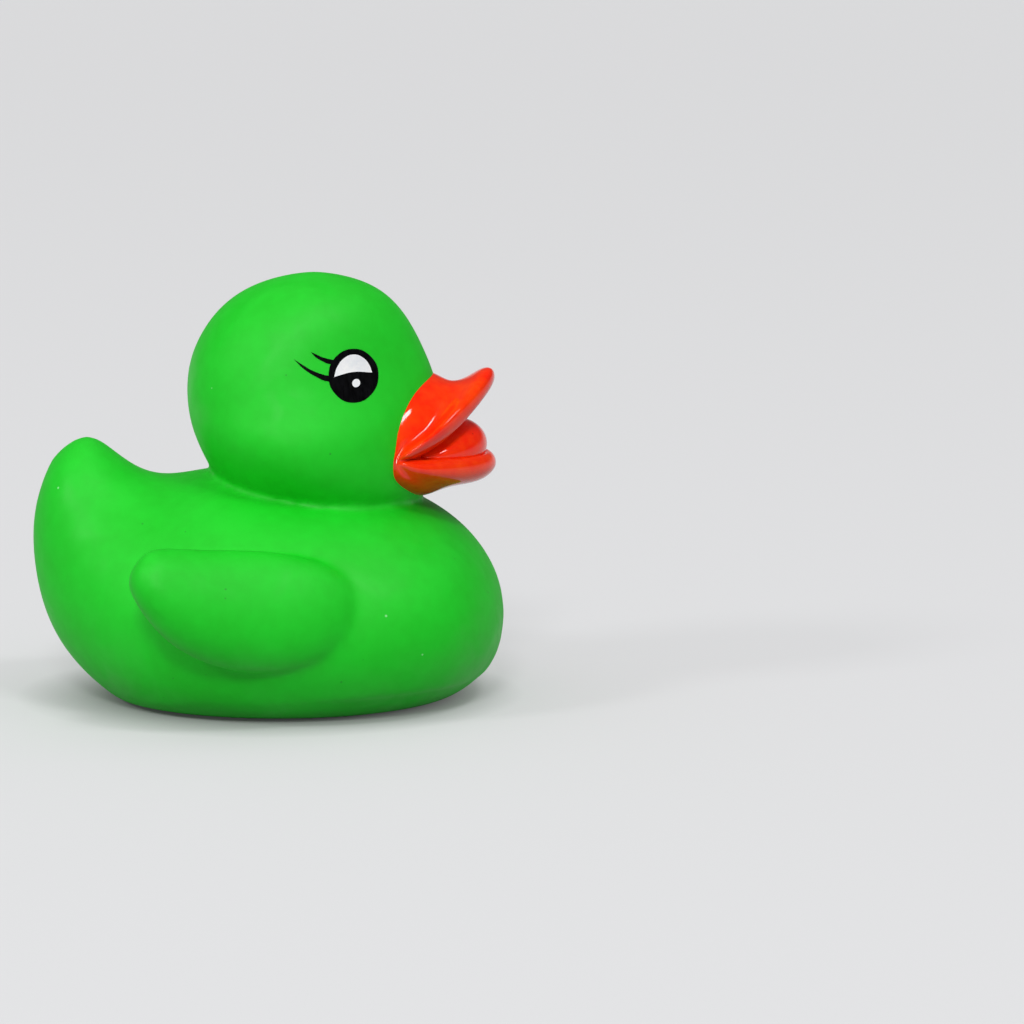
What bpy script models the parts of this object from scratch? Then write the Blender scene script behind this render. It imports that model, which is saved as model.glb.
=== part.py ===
"""A bath duck of soft vinyl: one hollow moulding, with a squeaker pressed into its flat base.

Run it with: blender --background --python part.py
Metres, +Z up. +X points out of the beak, +Y to the duck's left, and the origin is at the base's centre.
The values below are in millimetres.
"""
import math

import bmesh
import bpy
from mathutils import Vector

MM = 0.001
CLEARANCE = 0.3  # between pieces that meet

# Overall sizes of the duck. The forms are drawn at the drawn sizes and stretched to these.
LENGTH = 82.7
SPAN = 87.2
HEIGHT = 75.0
DRAWN_LENGTH = 82.7
DRAWN_SPAN = 87.5
DRAWN_HEIGHT = 75.0
DRAWN_MIDDLE_X = -0.74  # the middle of the drawn length

# The moulding
WALL = 2.2
BASE_WALL = 3.0  # the flat base is thicker, to hold the squeaker

# The squeaker: a flanged plug with an air hole, a reed over the hole, and a cap
PLUG_RADIUS = 5.7
PLUG_HEIGHT = 8.0
PLUG_WALL = 1.5
FLANGE_WIDTH = 1.8
FLANGE_THICKNESS = 0.8
FLANGE_RECESS = 1.3  # how deep the flange's seat is sunk into the base
BEAD_WIDTH = 0.9
BEAD_HEIGHT = 1.0
POCKET_FLOOR = 3.0
AIR_HOLE_RADIUS = 1.2
REED_THICKNESS = 0.4
REED_WIDTH = 3.4
CAP_THICKNESS = 1.2
CAP_SKIRT_WALL = 1.0
CAP_SLOT_WIDTH = 1.0
CAP_SLOT_END = 0.4  # from the slot's end to the inside of the skirt

# How finely the forms are rounded
SKIN_SIDES = 16
CAVITY_SIDES = 12
GROUND_SIDES = 40
ROUNDING_LEVELS = 1
EGG_SEGMENTS = 20
EGG_RINGS = 12
TURNED_STEPS = 32
MERGE_DISTANCE = 0.01
OVERCUT = 1.0  # how far a cutter reaches past what it cuts
CUTTER_DEPTH = 30.0

# Body hoops: top (x, z), bottom (x, z), half-width, how much fuller the lower half is
BODY_NOSE = (40.8, 14.5)
BODY_HOOPS = [
    ((39.8, 20.6), (39.8, 8.0), 9.0, 0.0),
    ((36.9, 26.2), (37.3, 4.0), 18.5, 0.0),
    ((31.2, 32.2), (31.8, -1.0), 27.0, 0.03),
    ((21.0, 37.6), (21.5, -5.8), 32.8, 0.05),
    ((7.5, 39.8), (8.0, -7.6), 35.6, 0.07),
    ((-5.0, 40.9), (-7.0, -7.4), 35.2, 0.07),
    ((-13.5, 39.5), (-19.2, -4.8), 32.0, 0.06),
    ((-19.5, 38.5), (-30.4, 1.4), 26.0, 0.05),
    ((-24.2, 40.2), (-38.3, 9.8), 19.0, 0.04),
    ((-28.3, 43.6), (-41.8, 19.8), 13.5, 0.0),
    ((-32.4, 46.8), (-42.6, 31.5), 9.5, 0.0),
]
BODY_TAIL = (-39.0, 42.8)

# The flat base and the rounding around it: half-length, half-width, height above the ground
FOOT_MIDDLE_X = 1.6
FOOT_RINGS = [
    (27.4, 22.6, 0.0),
    (29.5, 24.9, 0.4),
    (31.5, 27.1, 1.2),
    (33.7, 29.5, 2.6),
    (36.3, 32.3, 4.8),
    (70.0, 66.0, 12.0),
]

# Head hoops, lying flat from the neck up: front (x, z), back (x, z), half-width, fullness
HEAD_FOOT = (9.0, 29.0)
HEAD_HOOPS = [
    ((23.5, 32.5), (-4.5, 33.0), 13.0, 0.0),
    ((27.5, 36.5), (-8.6, 37.0), 17.4, 0.02),
    ((29.0, 40.5), (-10.8, 40.5), 20.5, 0.12),
    ((29.2, 44.5), (-12.8, 44.5), 22.0, 0.17),
    ((29.4, 48.5), (-14.3, 48.5), 22.0, 0.2),
    ((29.2, 52.5), (-14.9, 52.5), 20.1, 0.22),
    ((28.6, 56.5), (-14.9, 56.5), 18.6, 0.27),
    ((26.8, 61.0), (-14.0, 61.0), 17.4, 0.28),
    ((24.4, 66.0), (-11.4, 66.0), 16.0, 0.22),
    ((21.3, 70.2), (-7.6, 70.2), 13.3, 0.15),
    ((16.9, 73.2), (-2.2, 73.2), 9.3, 0.08),
]
HEAD_CROWN = (7.6, 75.5)

# Wing hoops from the front end to the tip: top (x, y, z), bottom (x, y, z), half-thickness, fullness
WING_FRONT = (17.4, 29.5, 20.5)
WING_HOOPS = [
    ((15.0, 28.5, 25.4), (14.8, 31.7, 15.2), 3.6, 0.05),
    ((9.0, 29.5, 29.2), (8.5, 34.1, 11.0), 5.7, 0.1),
    ((0.0, 31.0, 31.2), (-0.5, 35.2, 10.0), 7.2, 0.12),
    ((-9.0, 33.3, 31.4), (-9.5, 36.5, 11.8), 7.9, 0.1),
    ((-15.5, 35.6, 32.2), (-16.5, 38.3, 16.0), 7.1, 0.05),
    ((-20.0, 37.2, 32.6), (-21.0, 39.7, 22.0), 5.3, 0.0),
]
WING_TIP = (-23.8, 39.4, 27.2)

# Beak rings, from the head over the lips into the mouth, folded about the line between its corners:
# corner (x, y, z), then the upper and the lower middle point, each as x, z, how late the sides reach
# forward to it, how late they rise or sink to it, and how far the ring steps up or down at the corner
BEAK_ROOT = (18.0, 47.0)
BEAK_RINGS = [
    ((12.0, 12.5, 45.5), (20.0, 56.2, 1.4, 1.2, 5.0), (20.0, 37.0, 1.4, 1.2, -3.5)),
    ((18.0, 14.2, 44.8), (24.6, 57.3, 1.6, 1.4, 4.5), (24.2, 35.5, 1.5, 1.3, -3.2)),
    ((21.6, 15.4, 44.2), (28.4, 56.6, 1.5, 1.8, 4.0), (27.9, 36.0, 1.4, 1.3, -2.6)),
    ((22.0, 15.3, 44.0), (31.5, 55.7, 0.9, 2.4, 3.3), (31.6, 37.2, 1.3, 1.3, -2.0)),
    ((22.6, 15.5, 43.9), (35.9, 57.5, 1.1, 1.9, 2.0), (37.4, 38.6, 1.3, 1.4, -1.2)),
    ((23.5, 15.1, 43.9), (38.9, 58.4, 1.15, 1.8, 1.0), (39.9, 41.0, 1.35, 1.45, -0.4)),
    ((24.5, 13.7, 43.9), (39.1, 55.7, 1.2, 1.9, 0.4), (38.5, 43.4, 1.35, 1.4, 0.0)),
    ((25.6, 12.0, 43.9), (37.2, 53.6, 1.4, 1.9, 0.6), (36.4, 42.3, 1.4, 1.4, -0.2)),
    ((27.8, 8.6, 44.2), (33.0, 50.6, 1.6, 1.7, 1.0), (33.2, 41.6, 1.4, 1.3, -0.4)),
    ((29.4, 4.8, 44.6), (30.6, 47.8, 1.5, 1.6, 0.4), (30.8, 42.6, 1.4, 1.3, 0.0)),
]
BEAK_THROAT = (30.2, 45.2)
TONGUE_CENTRE = (31.2, 0.0, 44.5)
TONGUE_HALF_SIZES = (6.6, 10.6, 4.6)
BEAK_CORE_CENTRE = (28.0, 0.0, 43.7)  # the hollow inside the beak and tongue, before the wall is taken off
BEAK_CORE_HALF_SIZES = (9.0, 10.4, 5.0)

# Colours, linear
GREEN = (0.025, 0.52, 0.035)
RED = (0.95, 0.035, 0.004)
WHITE = (0.85, 0.85, 0.83)
STEEL = (0.6, 0.6, 0.6)


def stretch(point):
    """A drawn point in millimetres becomes a point of the duck in metres."""
    x = (point[0] - DRAWN_MIDDLE_X) * LENGTH / DRAWN_LENGTH
    y = point[1] * SPAN / DRAWN_SPAN
    z = point[2] * HEIGHT / DRAWN_HEIGHT
    return Vector((x, y, z)) * MM


def in_space(point):
    """A point of the median plane may be given without its y, which is 0 there."""
    return Vector(point) if len(point) == 3 else Vector((point[0], 0.0, point[1]))


def hoop(end_a, end_b, half_width, fullness, sides):
    """The points of an ellipse through two opposite ends, half_width wide across them.

    Its half at end_b may be the fuller one, like an egg. Rounding a ring of points by subdivision
    pulls it in, so the ring starts that much larger.
    """
    a, b = in_space(end_a), in_space(end_b)
    centre = (a + b) / 2
    along = (a - b) / 2
    across = Vector((0, 1, 0)) - along * (along.y / along.length_squared)
    across = across.normalized() * half_width
    swell = 6 / (4 + 2 * math.cos(math.tau / sides))
    points = []
    for i in range(sides):
        turn = math.tau * i / sides
        egg = 1 - fullness * math.cos(turn)
        points.append(centre + (along * math.cos(turn) + across * math.sin(turn) * egg) * swell)
    return points


def folded_ring(corner, upper, lower, sides):
    """A ring through both corners of the mouth, an upper middle and a lower middle point."""
    points = []
    for i in range(sides):
        turn = math.tau * i / sides
        reach = abs(math.cos(turn))
        middle_x, middle_z, advance, lateness, step = upper if math.cos(turn) > 0 else lower
        x = corner[0] + (middle_x - corner[0]) * reach ** advance
        y = corner[1] * math.sin(turn)
        start_z = corner[2] + step * (1 - (1 - reach) ** 8)
        z = start_z + (middle_z - start_z) * reach ** lateness
        points.append(Vector((x, y, z)))
    return points


def material(name, colour, roughness, coat=0.0, metallic=0.0):
    found = bpy.data.materials.get(name)
    if found:
        return found
    made = bpy.data.materials.new(name)
    made.use_nodes = True
    shader = made.node_tree.nodes["Principled BSDF"]
    shader.inputs["Base Color"].default_value = (*colour, 1.0)
    shader.inputs["Roughness"].default_value = roughness
    shader.inputs["Coat Weight"].default_value = coat
    shader.inputs["Metallic"].default_value = metallic
    made.diffuse_color = (*colour, 1.0)
    return made


def vinyl():
    return material("green_vinyl", GREEN, 0.5)


def beak_paint():
    return material("beak_paint", RED, 0.15, coat=0.5)


def object_from(name, bm, look, place):
    mesh = bpy.data.meshes.new(name)
    bmesh.ops.recalc_face_normals(bm, faces=bm.faces)
    bm.to_mesh(mesh)
    bm.free()
    mesh.shade_smooth()
    mesh.materials.append(look)
    ob = bpy.data.objects.new(name, mesh)
    place.objects.link(ob)
    return ob


def loft(name, first_pole, rings, last_pole, look, place):
    """A closed form through rings of points, drawn to a point at both ends, rounded by subdivision."""
    bm = bmesh.new()
    rows = [[bm.verts.new(stretch(p)) for p in ring] for ring in rings]
    for row, following in zip(rows, rows[1:]):
        for i in range(len(row)):
            j = (i + 1) % len(row)
            bm.faces.new((row[i], row[j], following[j], following[i]))
    for pole, row in ((first_pole, rows[0]), (last_pole, rows[-1])):
        tip = bm.verts.new(stretch(in_space(pole)))
        for i in range(len(row)):
            bm.faces.new((row[i], row[(i + 1) % len(row)], tip))
    ob = object_from(name, bm, look, place)
    rounding = ob.modifiers.new("rounding", "SUBSURF")
    rounding.levels = rounding.render_levels = ROUNDING_LEVELS
    return ob


def hooped(name, first_pole, hoops, last_pole, sides, place):
    rings = [hoop(*h, sides) for h in hoops]
    return loft(name, first_pole, rings, last_pole, vinyl(), place)


def wing(name, side, sides, place):
    def flip(point):
        return (point[0], point[1] * side, point[2])

    hoops = [(flip(top), flip(bottom), *rest) for top, bottom, *rest in WING_HOOPS]
    return hooped(name, flip(WING_FRONT), hoops, flip(WING_TIP), sides, place)


def beak(place):
    rings = [folded_ring(*ring, SKIN_SIDES) for ring in BEAK_RINGS]
    return loft("form_beak", BEAK_ROOT, rings, BEAK_THROAT, beak_paint(), place)


def egg(name, middle, half_sizes, look, place):
    bm = bmesh.new()
    bmesh.ops.create_uvsphere(bm, u_segments=EGG_SEGMENTS, v_segments=EGG_RINGS, radius=1.0)
    for v in bm.verts:
        v.co = stretch([c + s * u for c, s, u in zip(middle, half_sizes, v.co)])
    return object_from(name, bm, look, place)


def box(name, length, width, foot, top, look, place):
    """A block centred on the Z axis, from one height up to another."""
    bm = bmesh.new()
    bmesh.ops.create_cube(bm, size=1.0)
    for v in bm.verts:
        v.co = Vector((v.co.x * length, v.co.y * width, foot if v.co.z < 0 else top)) * MM
    return object_from(name, bm, look, place)


def combine(ob, other, operation):
    """Joins another form to this one, or cuts it away, and leaves the other as a hidden guide."""
    change = ob.modifiers.new(other.name, "BOOLEAN")
    change.operation = operation
    change.object = other
    change.material_mode = "TRANSFER"
    other.hide_render = True
    other.display_type = "WIRE"


def ground(place):
    """The ground the duck stands on, dished up around the flat base to round its edge."""
    bm = bmesh.new()
    outer_length, outer_width, _ = FOOT_RINGS[-1]
    rows = []
    for half_length, half_width, height in FOOT_RINGS + [(outer_length, outer_width, -CUTTER_DEPTH)]:
        ends = ((FOOT_MIDDLE_X + half_length, height), (FOOT_MIDDLE_X - half_length, height))
        rows.append([bm.verts.new(stretch(p)) for p in hoop(*ends, half_width, 0.0, GROUND_SIDES)])
    for row, following in zip(rows, rows[1:]):
        for i in range(GROUND_SIDES):
            j = (i + 1) % GROUND_SIDES
            bm.faces.new((row[i], row[j], following[j], following[i]))
    bm.faces.new(rows[0])
    bm.faces.new(rows[-1])
    return object_from("ground", bm, vinyl(), place)


def skin(place, guides):
    """The outside of the moulding, solid."""
    body = hooped("duck_shell", BODY_NOSE, BODY_HOOPS, BODY_TAIL, SKIN_SIDES, place)
    combine(body, ground(guides), "DIFFERENCE")
    combine(body, hooped("form_head", HEAD_FOOT, HEAD_HOOPS, HEAD_CROWN, SKIN_SIDES, guides), "UNION")
    combine(body, wing("form_wing_left", 1, SKIN_SIDES, guides), "UNION")
    combine(body, wing("form_wing_right", -1, SKIN_SIDES, guides), "UNION")
    combine(body, beak(guides), "UNION")
    tongue = egg("form_tongue", TONGUE_CENTRE, TONGUE_HALF_SIZES, beak_paint(), guides)
    combine(body, tongue, "UNION")
    return body


def thinned(form):
    """Draws a form in by the wall, along its normals."""
    inset = form.modifiers.new("wall", "DISPLACE")
    inset.mid_level = 0.0
    inset.strength = -WALL * MM
    return form


def cavity(guides):
    """The hollow inside: the same forms, a wall smaller, and cut off flat above the base."""
    inner = thinned(hooped("cavity", BODY_NOSE, BODY_HOOPS, BODY_TAIL, CAVITY_SIDES, guides))
    floor = box("cavity_floor", 2 * LENGTH, 2 * SPAN, -CUTTER_DEPTH, BASE_WALL, vinyl(), guides)
    combine(inner, floor, "DIFFERENCE")
    head = hooped("cavity_head", HEAD_FOOT, HEAD_HOOPS, HEAD_CROWN, CAVITY_SIDES, guides)
    combine(inner, thinned(head), "UNION")
    combine(inner, thinned(wing("cavity_wing_left", 1, CAVITY_SIDES, guides)), "UNION")
    combine(inner, thinned(wing("cavity_wing_right", -1, CAVITY_SIDES, guides)), "UNION")
    half_sizes = [size - WALL for size in BEAK_CORE_HALF_SIZES]
    combine(inner, egg("cavity_beak", BEAK_CORE_CENTRE, half_sizes, vinyl(), guides), "UNION")
    inner.hide_render = True
    inner.display_type = "WIRE"
    return inner


def turned(name, profile, look, place):
    """A solid of revolution about +Z through the origin, from (radius, height) points in millimetres.

    The points run down the outer side and back up the inner one, or the axis.
    """
    bm = bmesh.new()
    points = [bm.verts.new(Vector((r, 0.0, z)) * MM) for r, z in profile]
    for a, b in zip(points, points[1:] + points[:1]):
        bm.edges.new((a, b))
    mesh = bpy.data.meshes.new(name)
    bm.to_mesh(mesh)
    bm.free()
    mesh.materials.append(look)
    ob = bpy.data.objects.new(name, mesh)
    place.objects.link(ob)
    turning = ob.modifiers.new("turning", "SCREW")
    turning.steps = turning.render_steps = TURNED_STEPS
    turning.use_merge_vertices = True
    turning.merge_threshold = MERGE_DISTANCE * MM
    return ob


def squeaker_seat(guides):
    """What is cut out of the base for the plug and its flange."""
    hole = PLUG_RADIUS + CLEARANCE
    seat = PLUG_RADIUS + FLANGE_WIDTH + CLEARANCE
    top = BASE_WALL + OVERCUT
    profile = [(0.0, top), (hole, top), (hole, FLANGE_RECESS), (seat, FLANGE_RECESS), (seat, -OVERCUT),
               (0.0, -OVERCUT)]
    return turned("squeaker_seat", profile, vinyl(), guides)


def squeaker(place, guides):
    white = material("squeaker_plastic", WHITE, 0.4)
    pocket = PLUG_RADIUS - PLUG_WALL
    flange = PLUG_RADIUS + FLANGE_WIDTH
    flange_top = FLANGE_RECESS - CLEARANCE
    flange_foot = flange_top - FLANGE_THICKNESS
    bead = PLUG_RADIUS + BEAD_WIDTH
    bead_foot = BASE_WALL + CLEARANCE
    bead_top = bead_foot + BEAD_HEIGHT
    plug = [(pocket, PLUG_HEIGHT), (PLUG_RADIUS, PLUG_HEIGHT), (PLUG_RADIUS, bead_top), (bead, bead_foot),
            (PLUG_RADIUS, bead_foot), (PLUG_RADIUS, flange_top), (flange, flange_top), (flange, flange_foot),
            (AIR_HOLE_RADIUS, flange_foot), (AIR_HOLE_RADIUS, POCKET_FLOOR), (pocket, POCKET_FLOOR)]
    turned("squeaker_plug", plug, white, place)

    steel = material("reed_metal", STEEL, 0.35, metallic=1.0)
    reed_foot = POCKET_FLOOR + CLEARANCE
    reed_top = reed_foot + REED_THICKNESS
    reed_length = 2 * math.sqrt((pocket - CLEARANCE) ** 2 - (REED_WIDTH / 2) ** 2)
    box("squeaker_reed", reed_length, REED_WIDTH, reed_foot, reed_top, steel, place)

    cap_radius = pocket - CLEARANCE
    cap_foot = PLUG_HEIGHT - CAP_THICKNESS
    skirt = cap_radius - CAP_SKIRT_WALL
    skirt_foot = reed_top + CLEARANCE
    profile = [(0.0, PLUG_HEIGHT), (cap_radius, PLUG_HEIGHT), (cap_radius, skirt_foot), (skirt, skirt_foot),
               (skirt, cap_foot), (0.0, cap_foot)]
    cap = turned("squeaker_cap", profile, white, place)
    slot_length = 2 * (skirt - CAP_SLOT_END)
    slot_foot = cap_foot - OVERCUT
    slot_top = PLUG_HEIGHT + OVERCUT
    slot = box("cap_slot", slot_length, CAP_SLOT_WIDTH, slot_foot, slot_top, white, guides)
    combine(cap, slot, "DIFFERENCE")


def new_collection(name):
    made = bpy.data.collections.new(name)
    bpy.context.scene.collection.children.link(made)
    return made


def main():
    for ob in list(bpy.data.objects):
        bpy.data.objects.remove(ob, do_unlink=True)
    duck = new_collection("rubber_duck")
    guides = new_collection("forms_and_cutters")
    shell = skin(duck, guides)
    combine(shell, cavity(guides), "DIFFERENCE")
    combine(shell, squeaker_seat(guides), "DIFFERENCE")
    squeaker(duck, guides)


main()
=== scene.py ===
# %% [markdown]
# # A green vinyl bath duck
# This script dresses a fixed CAD model of a bath duck: a hollow moulding of soft matte vinyl, with a
# glossy red beak, printed eyes and a squeaker in its base. The CAD model stays where it is. Each cell
# below makes one piece or one finish on top of it, and prints what it made.

# %% Load the frame
import math

import bmesh
import bpy
import numpy as np
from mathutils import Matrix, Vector


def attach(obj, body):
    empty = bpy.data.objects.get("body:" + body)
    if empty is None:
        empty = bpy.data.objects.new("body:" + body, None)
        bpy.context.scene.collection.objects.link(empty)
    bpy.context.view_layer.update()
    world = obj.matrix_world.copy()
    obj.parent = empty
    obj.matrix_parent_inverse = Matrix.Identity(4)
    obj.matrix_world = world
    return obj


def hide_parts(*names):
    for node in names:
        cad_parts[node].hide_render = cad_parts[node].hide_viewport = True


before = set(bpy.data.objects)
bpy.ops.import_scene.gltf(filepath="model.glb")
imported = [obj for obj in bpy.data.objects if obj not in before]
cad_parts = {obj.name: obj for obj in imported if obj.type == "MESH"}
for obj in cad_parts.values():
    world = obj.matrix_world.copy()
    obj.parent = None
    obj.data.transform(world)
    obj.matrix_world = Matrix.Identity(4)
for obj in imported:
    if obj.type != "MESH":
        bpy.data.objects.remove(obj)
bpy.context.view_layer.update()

print("CAD pieces:", sorted(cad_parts))

# %% [markdown]
# ## Sizes
# The duck was drawn in millimetres, as seen from its right side: x runs forward to the beak and z runs
# up from the ground it stands on. Blender works in metres, so every drawn point goes through one small
# function. It also slides the drawing forward a little, because the CAD model has its middle at x = 0,
# and draws it in sideways by the same share as the CAD model, 87.2 for each 87.5.

# %% From drawn millimetres to the scene
MM = 0.001
MICRON = 0.001 * MM
FORWARD = 0.74
SLIMMER = 87.2 / 87.5
SHARP_ANGLE = math.radians(40)


def at(x, y, z):
    """A drawn point, in millimetres, as a place in the scene, in metres."""
    return Vector((x + FORWARD, y * SLIMMER, z)) * MM


def deselect():
    """Back to object mode with nothing selected, so that the next operator touches only new things."""
    if bpy.context.mode != "OBJECT":
        bpy.ops.object.mode_set(mode="OBJECT")
    bpy.ops.object.select_all(action="DESELECT")


def pick(*objects):
    """Selects these objects, and makes the first one active."""
    deselect()
    for ob in objects:
        ob.select_set(True)
    bpy.context.view_layer.objects.active = objects[0]
    return objects[0]


def apply_modifiers(ob):
    """Makes every modifier of an object part of its mesh."""
    pick(ob)
    for modifier in list(ob.modifiers):
        bpy.ops.object.modifier_apply(modifier=modifier.name)


def triangles(ob):
    """How many triangles an object's faces come to."""
    return sum(len(face.vertices) - 2 for face in ob.data.polygons)


print("one drawn millimetre is", at(1, 0, 0).x - at(0, 0, 0).x, "m")

# %% [markdown]
# ## The camera
# The picture was taken from the side with a long lens, a little above the duck's back. A short lens
# further in would show the same duck with a bigger near wing, and a long one flattens depth, as here.
# The camera is set first.

# %% Place the camera
LENS = 200.0
SENSOR = 36.0
NEAREST_SEEN = 0.01
CAMERA_PLACE = (0.04274, -0.9863, 0.1975)
CAMERA_DOWN = 9.5

deselect()
bpy.ops.object.camera_add(location=CAMERA_PLACE, rotation=(math.radians(90 - CAMERA_DOWN), 0, 0))
camera = bpy.context.object
camera.name = "camera"
camera.data.lens = LENS
camera.data.sensor_width = SENSOR
camera.data.clip_start = NEAREST_SEEN
bpy.context.scene.camera = camera
print("camera:", LENS, "mm lens,", CAMERA_DOWN, "degrees down")

# %% [markdown]
# ## Rounded forms from hoops
# A duck's body has no flat side to extrude from, and a sphere pushed about never gets a clean tail. So
# each form is lofted as a boat builder would do it: a row of hoops stands along the form, the gaps
# between them are bridged with faces, and both ends are gathered to a point. A Subdivision Surface
# then rounds the cage off. That rounding pulls a ring of vertices inwards, so each hoop is first
# swollen by just as much.

# %% Rings and hoops
HOOP_SIDES = 16


def swell(sides):
    """How much bigger a ring has to be for its rounded surface to land on the drawn one.

    Rounding mixes a point with its two neighbours in the ring, 4 to 1 to 1.
    """
    return 6 / (4 + 2 * math.cos(math.tau / sides))


def start_form(name):
    """An empty mesh at the origin, in edit mode, ready for its first ring."""
    deselect()
    bpy.ops.mesh.primitive_plane_add()
    form = bpy.context.object
    form.name = form.data.name = name
    bpy.ops.object.mode_set(mode="EDIT")
    bpy.ops.mesh.select_all(action="SELECT")
    bpy.ops.mesh.delete(type="VERT")
    return form


def add_ring(form, sides, place):
    """In edit mode, adds a circle and moves each of its points to place(turn)."""
    bpy.ops.mesh.select_all(action="DESELECT")
    bpy.ops.mesh.primitive_circle_add(vertices=sides, radius=1)
    mesh = bmesh.from_edit_mesh(form.data)
    for vert in mesh.verts:
        if vert.select:
            vert.co = place(math.atan2(vert.co.y, vert.co.x))
    bmesh.update_edit_mesh(form.data)


def hoop(top, bottom, half_width, fullness=0.0):
    """The place function of an ellipse through two opposite points, fuller near the second one."""
    top, bottom = at(*top), at(*bottom)
    middle = (top + bottom) / 2
    along = (top - bottom) / 2
    across = Vector((0, 1, 0)) - Vector((0, 1, 0)).project(along)
    across = across.normalized() * half_width * SLIMMER * MM

    def place(turn):
        rise = math.cos(turn)
        return middle + along * rise + across * math.sin(turn) * (1 - fullness * rise)

    return place


def swollen(place, middle, sides):
    """Pushes a ring out from its middle, by as much as rounding will pull it in."""
    return lambda turn: middle + (place(turn) - middle) * swell(sides)


print("a hoop of", HOOP_SIDES, "points is drawn", round(swell(HOOP_SIDES), 4), "times its size")

# %% [markdown]
# A ring is only a row of points. Extruding it again and again would make the same faces, but bridging
# finished rings lets each one be drawn where it belongs. The faces of a bridge may look either way, so a
# closed form is turned outwards at the end.

# %% Bridge, close and round a loft
ROUND_LEVELS = 3


def select_points(form, numbers):
    """In edit mode, selects these vertices and the edges between them. Returns their middle."""
    bpy.ops.mesh.select_all(action="DESELECT")
    mesh = bmesh.from_edit_mesh(form.data)
    mesh.verts.ensure_lookup_table()
    points = [mesh.verts[number] for number in numbers]
    for point in points:
        point.select_set(True)
    mesh.select_flush(True)
    bmesh.update_edit_mesh(form.data)
    return sum((point.co for point in points), Vector()) / len(points)


def bridge_rings(form, sides):
    """In edit mode, joins each ring to the one added after it. Returns how many rings there are."""
    rings = len(bmesh.from_edit_mesh(form.data).verts) // sides
    for first in range(0, (rings - 1) * sides, sides):
        select_points(form, range(first, first + 2 * sides))
        bpy.ops.mesh.bridge_edge_loops()
    return rings


def gather(form, numbers, pole):
    """In edit mode, extrudes an end ring and draws it together at one point."""
    middle = select_points(form, numbers)
    bpy.ops.mesh.extrude_region_move()
    bpy.ops.mesh.merge(type="CENTER")
    bpy.ops.transform.translate(value=pole - middle)


def face_outwards():
    """In edit mode, turns every face of a closed form outwards, and leaves edit mode."""
    bpy.ops.mesh.select_all(action="SELECT")
    bpy.ops.mesh.normals_make_consistent(inside=False)
    bpy.ops.object.mode_set(mode="OBJECT")


def close_loft(form, sides, first_pole, last_pole):
    """Bridges the rings and gathers both ends."""
    rings = bridge_rings(form, sides)
    gather(form, range(sides), first_pole)
    gather(form, range((rings - 1) * sides, rings * sides), last_pole)
    face_outwards()


def round_off(form):
    """Rounds a cage off, and says how fine it has become."""
    rounding = form.modifiers.new("rounding", "SUBSURF")
    rounding.levels = rounding.render_levels = ROUND_LEVELS
    apply_modifiers(form)
    print(form.name, "has", triangles(form), "triangles")


def loft(name, first_pole, hoops, last_pole):
    """A rounded form along a row of hoops: top, bottom, half width and fullness, in drawn millimetres."""
    form = start_form(name)
    for top, bottom, half_width, fullness in hoops:
        middle = (at(*top) + at(*bottom)) / 2
        place = swollen(hoop(top, bottom, half_width, fullness), middle, HOOP_SIDES)
        add_ring(form, HOOP_SIDES, place)
    close_loft(form, HOOP_SIDES, at(*first_pole), at(*last_pole))
    round_off(form)
    return form


print("each face of a cage becomes", 4**ROUND_LEVELS, "faces")

# %% [markdown]
# ## The body
# The body is a low boat with an upturned tail. It could be a box that is extruded, scaled and rounded
# off, but its outline would then be found by trial. Hoops take the outline as it is drawn. They lean
# more and more towards the tail, so that they stay square to it as it curls up. A small fullness makes
# the hull widest below its middle.

# %% Loft the body
def on_middle(hoops):
    """Fills in y = 0 for hoops that are drawn in the duck's middle plane."""
    return [((top[0], 0, top[1]), (bottom[0], 0, bottom[1]), *rest) for top, bottom, *rest in hoops]


BODY_NOSE = (40.8, 0, 14.5)
BODY_HOOPS = [  # top (x, z), bottom (x, z), half width and fullness
    ((39.8, 20.6), (39.8, 8.0), 9.0, 0.0),
    ((36.9, 26.2), (37.3, 4.0), 18.5, 0.0),
    ((31.2, 32.2), (31.8, -1.0), 27.0, 0.03),
    ((21.0, 37.6), (21.5, -5.8), 32.8, 0.05),
    ((7.5, 39.8), (8.0, -7.6), 35.6, 0.07),
    ((-5.0, 40.9), (-7.0, -7.4), 35.2, 0.07),
    ((-13.5, 39.5), (-19.2, -4.8), 32.0, 0.06),
    ((-19.5, 38.5), (-30.4, 1.4), 26.0, 0.05),
    ((-24.2, 40.2), (-38.3, 9.8), 19.0, 0.04),
    ((-28.3, 43.6), (-41.8, 19.8), 13.5, 0.0),
    ((-32.4, 46.8), (-42.6, 31.5), 9.5, 0.0),
]
BODY_TAIL = (-39.0, 0, 42.8)

body = loft("body", BODY_NOSE, on_middle(BODY_HOOPS), BODY_TAIL)

# %% [markdown]
# ## The head
# The head is nearly a ball, but its cheeks bulge low down, in line with the mouth, and it narrows above
# them before the crown. A sphere with its cheeks pulled out would show the pull, so it is lofted too.
# The hoops lie level here, one above the other from the neck up.

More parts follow.
